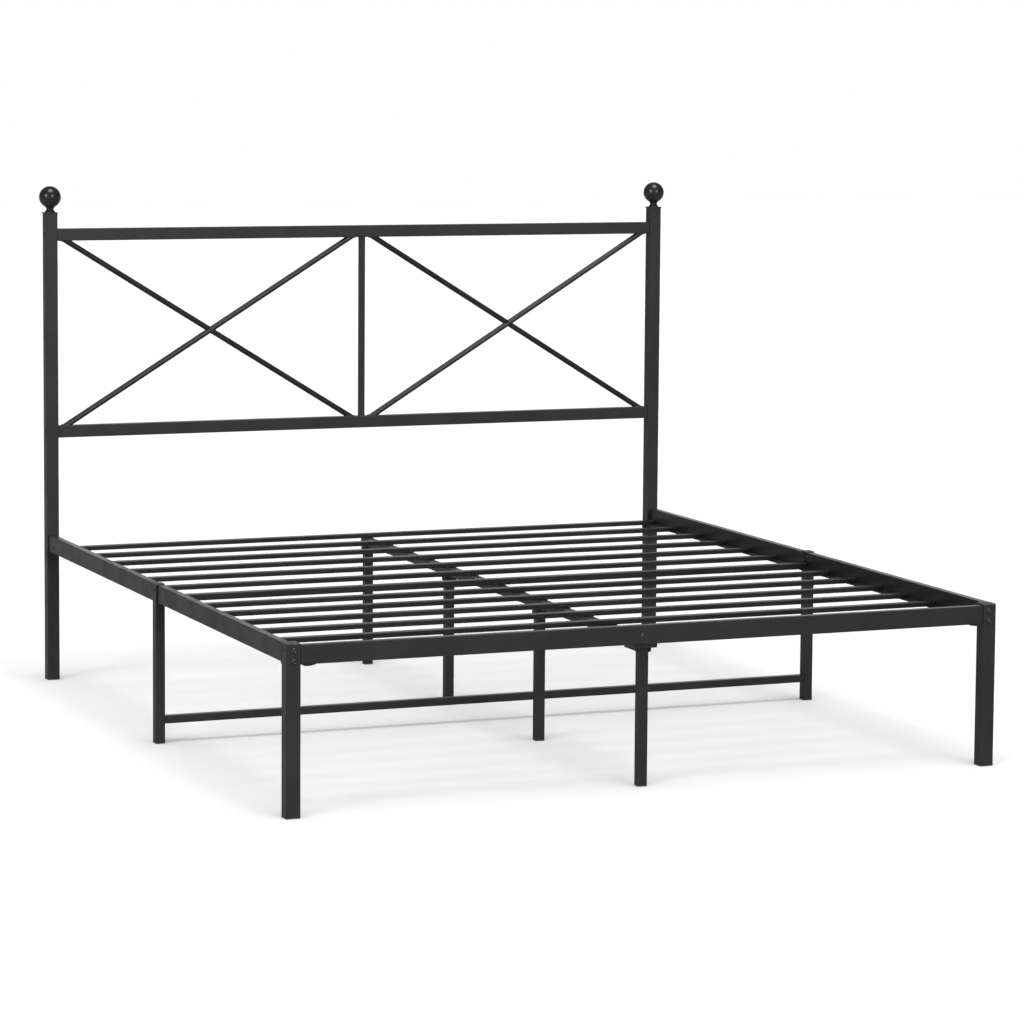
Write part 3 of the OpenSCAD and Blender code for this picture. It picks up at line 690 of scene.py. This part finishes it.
def rail_screws():
    """Small screws at the head ends of the side rails and on both faces of the middle joints."""
    rail_hi = lows_highs("side_rail_right_head")[1]
    mid_lo, mid_hi = lows_highs("middle_leg_right")
    lo, hi = lows_highs("rail_screws")
    mid_y = (mid_lo.y + mid_hi.y) / 2
    inner_x = rail_hi.x - RAIL_BOX
    below_top, inner_below_top = 13.5 * MM, 11 * MM
    bm = bmesh.new()
    for _, sign in SIDES:
        outward = (sign, 0, 0)
        seats = [((sign * rail_hi.x, hi.y - SCREW_R, lo.z + SCREW_R), outward),
                 ((sign * mid_hi.x, mid_y, rail_hi.z - below_top), outward)]
        for gap in (6.6 * MM, 30.6 * MM):
            seats.append(((sign * inner_x, mid_lo.y - gap, rail_hi.z - inner_below_top), (-sign, 0, 0)))
        for at, way in seats:
            bolt_head(bm, at, way, SCREW_R, SCREW_H, SCREW_SOCKET)
    settle_bolts(bm, "rail_screw_heads", "rail_screws")


def centre_leg_bolts():
    """A bolt across the top of each centre leg, with its nut and the end of its thread."""
    bracket_hi = lows_highs("centre_leg_brackets")[1]
    z, reach = bracket_hi.z - 10 * MM, bracket_hi.x
    bm = bmesh.new()
    for n in range(1, 5):
        leg_lo, leg_hi = lows_highs("centre_leg_%d" % n)
        y = (leg_lo.y + leg_hi.y) / 2
        bolt_head(bm, (-reach, y, z), (-1, 0, 0), BOLT_R, 3.5 * MM, BOLT_SOCKET)
        nut(bm, (reach, y, z), (1, 0, 0), 17 * MM, 6 * MM)
        round_bar(bm, Vector((reach + 5 * MM, y, z)), Vector((reach + 7.5 * MM, y, z)), 4 * MM, 18)
    settle_bolts(bm, "centre_leg_bolt_sets", "centre_leg_bolts")


# ---------------------------------------------------------------- plastic parts

def leg_boxes():
    """Footprint (lo, hi) of all ten legs."""
    names = ["head_post_left", "head_post_right", "foot_leg_left", "foot_leg_right",
             "middle_leg_left", "middle_leg_right"] + ["centre_leg_%d" % n for n in range(1, 5)]
    return [lows_highs(name) for name in names]


def feet():
    bm = bmesh.new()
    for lo, hi in leg_boxes():
        block(bm, (lo.x, lo.y, FLOOR_Z), (hi.x, hi.y, lo.z), CORNER, along=Z, arris=0.6 * MM)
    settle(bm, "moulded_feet", PLASTIC, ["leg_glides"], "plastic")


def leg_caps():
    """Flat moulded caps on the foot legs and middle legs, with a shallow dished field."""
    for node, legs in (("foot_leg_caps", ("foot_leg_left", "foot_leg_right")),
                       ("middle_leg_caps", ("middle_leg_left", "middle_leg_right"))):
        top = lows_highs(node)[1].z
        bm = bmesh.new()
        for leg in legs:
            lo, hi = lows_highs(leg)
            ends = block(bm, (lo.x, lo.y, hi.z), (hi.x, hi.y, top), CORNER, along=Z, arris=0.8 * MM)
            for end in ends:
                if end.normal.z > 0.5:
                    bmesh.ops.inset_region(bm, faces=[end], thickness=3.2 * MM, use_even_offset=True)
                    bmesh.ops.inset_region(bm, faces=[end], thickness=0.8 * MM, depth=-0.35 * MM)
        settle(bm, node + "_moulded", PLASTIC, [node], "plastic")


# ---------------------------------------------------------------- assembly

def all_tubes():
    for side, _ in SIDES:
        tube("head_post_" + side, Z)
    tube("headboard_top_rail", X)
    tube("headboard_lower_rail", X)
    tube("headboard_centre_bar", Z, corner=1.8 * MM)
    tube("cross_tie", X, corner=1.8 * MM)
    tube("foot_rail", X, open_ends=(-1, 1))
    tube("centre_rail_head", Y, open_ends=(1,))
    tube("centre_rail_foot", Y)
    for n in range(1, 14):
        tube("slat_%02d" % n, X, open_ends=(-1, 1), corner=1.8 * MM)
    for n in range(1, 5):
        tube("centre_leg_%d" % n, Z, corner=1.8 * MM)


def tie_welds():
    bm = bmesh.new()
    lo, hi = lows_highs("cross_tie")
    mid = (lo + hi) / 2
    half = (hi.z - lo.z) / 2
    for x in (lo.x + 0.5 * MM, hi.x - 0.5 * MM):
        square_bead(bm, Vector((x, mid.y, mid.z)), X, half, half, 1.4 * MM)
    bmesh.ops.recalc_face_normals(bm, faces=bm.faces[:])
    settle(bm, "tie_weld_runs", WELD, [], "frame_coat", 70.0)


def finish_kept_nodes():
    """CAD nodes that stay take their slot's finish."""
    for name, node in frame["nodes"].items():
        if not node.hide_render:
            for place in node.material_slots:
                place.material = FINISH_OF[SLOT_OF[name]]


all_tubes()
ball_finials()
post_caps()
headboard_rods()
headboard_welds()
side_rails()
ledge_welds()
headboard_bolts()
foot_bolts()
rail_screws()
centre_leg_bolts()
feet()
leg_caps()
tie_welds()
finish_kept_nodes()


# ---------------------------------------------------------------- studio

SURROUND_LEVEL, BACKDROP_LEVEL, FILL_LEVEL = 0.05, 1.0, 1.15
BACKDROP_WAY = (0.37, 0.92, 0.12)        # from the bed towards the bright backdrop
BACKDROP_EDGE = (0.78, 0.97)             # where the backdrop begins and is full, as a cosine
FLOOR_HALF = 30.0

# name, direction that it shines from, spread in degrees, strength
LIGHTS = (("overhead_light", (-0.01, -0.27, 0.96), 33.0, 2.8),
          ("left_light", (-0.81, -0.51, 0.29), 24.0, 1.6),
          ("right_light", (0.16, -0.96, 0.23), 22.0, 1.15))

SENSOR_MM, LENS_MM = 36.0, 132.215977
SHIFT_X, SHIFT_Y = -0.05859375, -0.078125
YAW, PITCH, ROLL = 0.4067, -0.1027, 0.0092
SEAT = (-3.687638, -8.047466, 1.77407)   # y counts from the foot legs' front faces


def studio():
    ground = bmesh.new()
    bmesh.ops.create_grid(ground, x_segments=2, y_segments=2, size=FLOOR_HALF)
    mesh = bpy.data.meshes.new("studio_floor")
    ground.to_mesh(mesh)
    ground.free()
    mesh.materials.append(studio_floor("studio_paper"))
    floor = bpy.data.objects.new("studio_floor", mesh)
    bpy.context.scene.collection.objects.link(floor)

    world = bpy.data.worlds.new("studio")
    bpy.context.scene.world = world
    world.use_nodes = True
    room = Nodes(world.node_tree)
    facing = room.node("ShaderNodeSeparateXYZ", Vector=room.node("ShaderNodeTexCoord")["Generated"])
    across, along, up = BACKDROP_WAY
    towards_backdrop = facing["X"] * across + facing["Y"] * along + facing["Z"] * up
    mirrored = room.rise(towards_backdrop, *BACKDROP_EDGE, SURROUND_LEVEL, BACKDROP_LEVEL)
    ray = room.node("ShaderNodeLightPath")
    level = ray["Is Glossy Ray"] * (mirrored - FILL_LEVEL) + FILL_LEVEL
    strength = ray["Is Camera Ray"] * (1.0 - level) + level
    white = room.node("ShaderNodeBackground", Color=(1.0, 1.0, 1.0, 1.0), Strength=strength)
    room.node("ShaderNodeOutputWorld", Surface=white["Background"])


def soft_sun(name, towards, spread_deg, strength):
    """A large far lamp: the same soft light everywhere on the floor."""
    light = bpy.data.lights.new(name, "SUN")
    light.angle, light.energy = math.radians(spread_deg), strength
    lamp = bpy.data.objects.new(name, light)
    lamp.rotation_euler = Vector(towards).to_track_quat("Z", "Y").to_euler()
    bpy.context.scene.collection.objects.link(lamp)


def camera():
    """Seen from the left of the foot, far off through a long lens."""
    eye = bpy.data.cameras.new("camera")
    eye.sensor_width, eye.lens = SENSOR_MM, LENS_MM
    eye.shift_x, eye.shift_y = SHIFT_X, SHIFT_Y
    eye.clip_end = 200.0
    eye.dof.use_dof = False
    seat = bpy.data.objects.new("camera", eye)
    level = math.cos(PITCH)
    forward = Vector((math.sin(YAW) * level, math.cos(YAW) * level, math.sin(PITCH)))
    right = Vector((math.cos(YAW), -math.sin(YAW), 0.0))
    up = right.cross(forward)
    right, up = (right * math.cos(ROLL) + up * math.sin(ROLL),
                 up * math.cos(ROLL) - right * math.sin(ROLL))
    turn = Matrix((right, up, -forward)).transposed()
    foot_line = Vector((0.0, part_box("foot_leg_left")[0][1], 0.0))
    seat.matrix_world = Matrix.Translation(Vector(SEAT) + foot_line) @ turn.to_4x4()
    bpy.context.scene.collection.objects.link(seat)
    bpy.context.scene.camera = seat


studio()
for light in LIGHTS:
    soft_sun(*light)
bpy.context.scene.view_settings.view_transform = "Standard"
camera()
